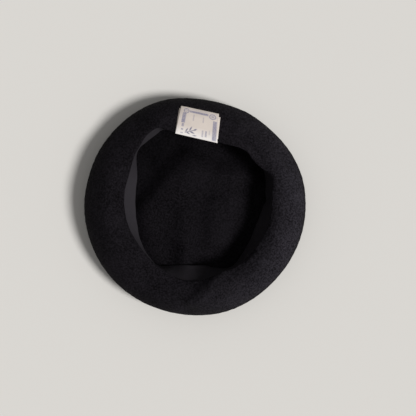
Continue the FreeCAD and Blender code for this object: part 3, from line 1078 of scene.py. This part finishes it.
@dataclass(frozen=True)
class LabelFinish:
    """Cream satin cloth with a plain printed border, bars and a sprig.

    The cloth carries a painted highlight along the fold: it is whiter from the fold reach, in millimetres,
    out to the fold itself.
    """

    cloth: tuple[float, float, float] = (0.73, 0.645, 0.58)
    # painted highlight colour along the fold
    fold_highlight: tuple[float, float, float] = (0.96, 0.91, 0.87)
    pale_ink: tuple[float, float, float] = (0.195, 0.195, 0.32)
    deep_ink: tuple[float, float, float] = (0.10, 0.105, 0.215)
    fold_highlight_reach: tuple[float, float] = (13.0, 1.0)
    soft: float = 0.45
    border: tuple[Mark, ...] = (
        Mark(Shape.BLOCK, (7.0, 22.0), (2.5, 6.6), weight=0.95),
        Mark(Shape.BLOCK, (49.4, 13.0), (2.6, 12.2), weight=0.9),
        Mark(Shape.BLOCK, (26.5, 31.2), (13.0, 1.3), weight=1.0),
        Mark(Shape.RING, (9.0, 31.0), (3.2, 2.7), weight=0.9),
        Mark(Shape.RING, (9.0, 31.0), (1.2, 1.0), weight=0.8),
        Mark(Shape.RING, (45.6, 30.0), (4.2, 2.8), weight=0.9),
        Mark(Shape.SPOT, (45.6, 30.0), (2.2, 1.3), weight=0.8),
        Mark(Shape.BLOCK, (2.2, 17.0), (0.35, 15.0), weight=0.35),
        Mark(Shape.BLOCK, (28.0, 34.0), (24.0, 0.35), weight=0.5),
        Mark(Shape.BLOCK, (52.6, 17.0), (0.3, 15.0), weight=0.4),
        Mark(Shape.BLOCK, (7.4, 12.6), (1.5, 2.2), weight=0.85),
        Mark(Shape.BLOCK, (7.4, 7.0), (1.4, 1.1), weight=0.85),
        Mark(Shape.BLOCK, (7.6, 2.4), (1.6, 0.8), weight=0.75),
        Mark(Shape.BLOCK, (20.0, 24.0), (0.8, 4.0), weight=0.55),
        Mark(Shape.BLOCK, (33.4, 23.6), (0.8, 3.4), weight=0.55),
        Mark(Shape.BLOCK, (34.2, 6.6), (1.1, 4.2), weight=0.6),
        Mark(Shape.BLOCK, (38.6, 7.0), (1.2, 3.8), weight=0.75),
        Mark(Shape.BLOCK, (43.0, 9.6), (0.8, 2.8), weight=0.4),
    )
    sprig: tuple[Mark, ...] = (
        Mark(Shape.BLOCK, (18.0, 6.4), (7.2, 0.42), 24.0),
        Mark(Shape.SPOT, (13.4, 7.0), (2.6, 0.8), 64.0),
        Mark(Shape.SPOT, (15.4, 3.8), (2.6, 0.8), -22.0),
        Mark(Shape.SPOT, (18.2, 9.4), (2.9, 0.85), 66.0),
        Mark(Shape.SPOT, (20.6, 5.4), (3.0, 0.9), -16.0),
        Mark(Shape.SPOT, (24.2, 9.4), (2.2, 0.9), 30.0),
        Mark(Shape.SPOT, (24.4, 2.0), (2.2, 0.6), 6.0),
    )

    def inked(self, nodes: Nodes, layout: bpy.types.NodeSocket,
              marks: tuple[Mark, ...]) -> bpy.types.NodeSocket:
        """The ink of several marks laid over each other.

        Args:
            nodes: the material that is being built.
            layout: the label's own coordinates, in millimetres.
            marks: the marks.

        Returns:
            The strongest ink at each point.
        """
        total = marks[0].mask(nodes, layout, self.soft)
        for mark in marks[1:]:
            total = nodes.math("MAXIMUM", total, mark.mask(nodes, layout, self.soft))
        return total

    def build(self) -> bpy.types.Material:
        """Make the material.

        Returns:
            The label's cloth.
        """
        nodes = Nodes("label_cloth")
        layout = nodes.add("ShaderNodeUVMap", uv_map="print").outputs["UV"]
        cells = nodes.add("ShaderNodeTexVoronoi")
        cells.inputs["Scale"].default_value = 0.75
        nodes.join(layout, cells.inputs["Vector"])
        wear_and_shade = nodes.noise(1.6, 3.0, 0.7)
        lace = nodes.math("MULTIPLY_ADD", nodes.ramp(cells.outputs["Distance"], 0.75, 0.2), 0.35, 0.65)
        rubbed = nodes.math("MULTIPLY_ADD", nodes.ramp(wear_and_shade, 0.35, 0.65), 0.2, 0.8)
        lace = nodes.math("MULTIPLY", lace, rubbed)
        border = nodes.math("MULTIPLY", self.inked(nodes, layout, self.border), lace)
        sprig = nodes.math("MULTIPLY", self.inked(nodes, layout, self.sprig), 0.85)
        weave = nodes.noise(0.5, 2.0, 0.5, (1.0, 3.0, 1.0))
        ground = nodes.mix(nodes.noise(9.0, 3.0, 0.6), tuple(tone * 0.93 for tone in self.cloth),
                           tuple(min(tone * 1.07, 1.0) for tone in self.cloth))
        split = nodes.add("ShaderNodeSeparateXYZ")
        nodes.join(layout, split.inputs["Vector"])
        # painted highlight: the cloth turns whiter towards the fold
        ground = nodes.mix(nodes.ramp(split.outputs["Y"], *self.fold_highlight_reach), ground, self.fold_highlight)
        printed = nodes.mix(border, ground, self.pale_ink)
        nodes.join(nodes.mix(sprig, printed, self.deep_ink), nodes.shader.inputs["Base Color"])
        nodes.bump(nodes.math("MULTIPLY_ADD", wear_and_shade, 0.6, weave), 0.1, 0.6)
        nodes.set(Roughness=0.55, Specular_IOR_Level=0.3, Sheen_Weight=0.1, Sheen_Roughness=0.4)
        return nodes.material


# ------------------------------------------------------------------ stalk and threads
@dataclass
class Stalk:
    """The little felt tail under the crown's middle, bent flat along the ground."""

    felt: FeltBody
    bearing: float = 205.0
    radius: float = 2.1
    bend: float = 5.4
    length: float = 15.0
    root: float = 8.3
    tacks: int = 8
    tack_radius: float = 0.26
    tack_slant: float = 0.25
    tack_steps: tuple[tuple[float, float], ...] = (
        (-0.5, -1.5), (0.15, -1.3), (0.8, -0.7), (1.3, 0.1), (1.6, 0.9),
    )

    def build(self, felt: bpy.types.Material, thread: bpy.types.Material) -> None:
        """Make the tail and the tacks round its root.

        Args:
            felt: the tail's felt.
            thread: the tacks' thread.
        """
        middle = np.zeros(1)
        crown = float(self.felt.crown_height(middle, middle)[0])
        bearing = math.radians(self.bearing)
        way = np.array([math.cos(bearing), math.sin(bearing), 0.0])
        path = [np.array([0.0, 0.0, height])
                for height in np.linspace(crown + 1.0, self.root, 6, endpoint=False)]
        for turn in np.linspace(0.0, math.pi / 2, 9):
            path.append(way * self.bend * (1.0 - math.cos(turn))
                        + np.array([0.0, 0.0, self.root - self.bend * math.sin(turn)]))
        for run in np.linspace(1.2, self.length, 12):
            path.append(way * (self.bend + run) + np.array([0.0, 0.0, self.root - self.bend]))
        share = np.linspace(0.0, 1.0, len(path))
        radii = self.radius * (1.08 - 0.14 * share) * (1.0 + 0.035 * np.sin(share * 31.0))
        radii[-2:] *= (0.9, 0.62)
        points, faces = tube(np.array(path), radii, 20)
        new_piece("stalk_tail", points, faces, felt, HAT, ("stalk",))
        tacks = []
        for number in range(self.tacks):
            turn = TURN * number / self.tacks
            out = np.array([math.cos(turn), math.sin(turn), 0.0])
            aside = np.array([-math.sin(turn), math.cos(turn), 0.0])
            line = [out * (self.radius + reach) + aside * self.tack_slant * index
                    + np.array([0.0, 0.0, crown + height])
                    for index, (reach, height) in enumerate(self.tack_steps)]
            tacks.append(tube(np.array(line), np.full(len(line), self.tack_radius)))
        points, faces = gather(tacks)
        new_piece("stalk_tacks", points, faces, thread, HAT, ("stalk_stitches",))


@dataclass
class Threads:
    """The sewing that holds the ribbon and the label to the felt.

    A step of a stitch gives how far along or down it lies and how far it stands off the cloth.
    """

    band: Sweatband
    label: Label
    seam_count: int = 96
    seam_radius: float = 0.24
    seam_slant: float = 0.0045
    seam_steps: tuple[tuple[float, float], ...] = (
        (0.115, 0.30), (0.10, 0.52), (0.07, 0.52), (0.045, 0.45), (0.02, 0.10),
    )
    join_bearing: float = -42.0
    join_count: int = 4
    join_top: float = 0.2
    join_pitch: float = 0.06
    join_steps: tuple[tuple[float, float], ...] = (
        (-0.8, 0.1), (-0.6, 0.5), (0.0, 0.62), (0.6, 0.5), (0.8, 0.1),
    )
    tack_count: int = 7
    tack_pitch: float = 7.0
    tack_length: float = 3.0
    tack_out: float = 29.6
    tack_radius: float = 0.2
    tack_steps: tuple[tuple[float, float], ...] = (
        (-0.5, -0.9), (-0.46, 0.05), (-0.25, 0.24), (0.25, 0.24), (0.46, 0.05), (0.5, -0.9),
    )

    def on_ribbon(self, bearing: float, share: float, off: float) -> np.ndarray:
        """A point down the ribbon by a share and inwards off its middle face by some millimetres."""
        spot = self.band.centre_face(np.array([bearing]), np.array([share]))[0, 0]
        return spot - off * np.array([math.cos(bearing), math.sin(bearing), 0.0])

    def seam(self, material: bpy.types.Material) -> None:
        """Slanting stitches from the ribbon's face up into the felt's edge.

        Args:
            material: the thread.
        """
        parts = []
        for number in range(self.seam_count):
            bearing = TURN * number / self.seam_count
            line = [self.on_ribbon(bearing + self.seam_slant * step, share, off)
                    for step, (share, off) in enumerate(self.seam_steps)]
            parts.append(tube(np.array(line), np.full(len(line), self.seam_radius)))
        points, faces = gather(parts)
        new_piece("seam_threads", points, faces, material, HAT, ("seam_stitches",))

    def join(self, material: bpy.types.Material) -> None:
        """Short level tacks, one under the other, where the ribbon's two ends meet.

        Args:
            material: the thread.
        """
        parts = []
        for number in range(self.join_count):
            share = self.join_top + self.join_pitch * number
            line = [self.on_ribbon(math.radians(self.join_bearing + aside), share, off)
                    for aside, off in self.join_steps]
            parts.append(tube(np.array(line), np.full(len(line), self.seam_radius)))
        points, faces = gather(parts)
        new_piece("band_join_threads", points, faces, material, HAT,
                  ("band_join_stitches",))

    def label_tacks(self, material: bpy.types.Material) -> None:
        """A row of tacks that holds the label's back leaf down, hidden by the flap.

        Args:
            material: the thread.
        """
        parts = []
        label = self.label
        for number in range(self.tack_count):
            middle = (number - (self.tack_count - 1) / 2) * self.tack_pitch
            line = []
            for aside, rise in self.tack_steps:
                place = np.array([middle + aside * self.tack_length])
                across, along = label.to_world(place, np.array([self.tack_out]))
                height = label.felt_height(across, along) + label.leaf_gap + label.thick / 2 + rise
                line.append([across[0], along[0], height[0]])
            parts.append(tube(np.array(line), np.full(len(line), self.tack_radius)))
        points, faces = gather(parts)
        new_piece("label_threads", points, faces, material, HAT,
                  ("label_stitches",))


# ------------------------------------------------------------------ studio
@dataclass(frozen=True)
class Studio:
    """Plain pale floor, one soft key lamp, even fill and the camera."""

    floor_tone: tuple[float, float, float] = (0.80, 0.777, 0.738)
    floor_size: float = 8.0
    key_strength: float = 2.62
    key_bearing: float = -22.5
    key_height: float = 50.0
    key_spread: float = 17.0
    fill: float = 0.235
    camera_height: float = 1.469
    camera_lens: float = 100.0
    camera_across: float = 0.0171
    camera_along: float = -0.0018

    def floor(self) -> None:
        """Lay the floor under the hat."""
        nodes = Nodes("studio_floor")
        nodes.set(Base_Color=(*self.floor_tone, 1.0), Roughness=0.9, Specular_IOR_Level=0.0)
        half = self.floor_size / 2
        mesh = bpy.data.meshes.new("studio_floor")
        mesh.from_pydata([(-half, -half, 0), (half, -half, 0), (half, half, 0), (-half, half, 0)],
                         [], [(0, 1, 2, 3)])
        mesh.materials.append(nodes.material)
        floor = bpy.data.objects.new("studio_floor", mesh)
        bpy.context.scene.collection.objects.link(floor)

    def lights(self) -> None:
        """Set the key lamp and the even fill."""
        lamp = bpy.data.lights.new("key_lamp", "SUN")
        lamp.energy = self.key_strength
        lamp.angle = math.radians(self.key_spread)
        key = bpy.data.objects.new("key_lamp", lamp)
        key.rotation_euler = (0.0, math.radians(90.0 - self.key_height), math.radians(self.key_bearing))
        bpy.context.scene.collection.objects.link(key)
        world = bpy.data.worlds.new("studio_fill")
        world.use_nodes = True
        background = world.node_tree.nodes["Background"]
        background.inputs["Color"].default_value = (1.0, 1.0, 1.0, 1.0)
        background.inputs["Strength"].default_value = self.fill
        bpy.context.scene.world = world

    def camera(self) -> None:
        """Hang the camera straight over the hat, looking down."""
        scene = bpy.context.scene
        data = bpy.data.cameras.new("camera")
        data.lens = self.camera_lens
        data.sensor_width = 36.0
        camera = bpy.data.objects.new("camera", data)
        camera.location = (self.camera_across, self.camera_along, self.camera_height)
        scene.collection.objects.link(camera)
        scene.camera = camera
        scene.view_settings.view_transform = "Standard"

    def build(self) -> None:
        """Set up the whole studio."""
        self.floor()
        self.lights()
        self.camera()


def main() -> None:
    """Build the studio and every piece, in order."""
    logging.basicConfig(level=logging.INFO, format="%(message)s")
    Studio().build()
    felt = FeltBody()
    felt_finish = FeltFinish().build()
    felt.build(felt_finish)
    band = Sweatband(felt)
    ribbon = band.build(RibbonFinish().build())
    label = Label(felt)
    label.build(LabelFinish().build())
    black_thread = ThreadFinish("black_thread", (0.012, 0.011, 0.013), (0.03, 0.028, 0.032)).build()
    cream_thread = ThreadFinish("label_thread", (0.42, 0.37, 0.32), (0.68, 0.62, 0.55)).build()
    threads = Threads(band, label)
    threads.seam(black_thread)
    threads.join(black_thread)
    threads.label_tacks(cream_thread)
    Stalk(felt).build(felt_finish, black_thread)


if __name__ == "__main__":
    main()
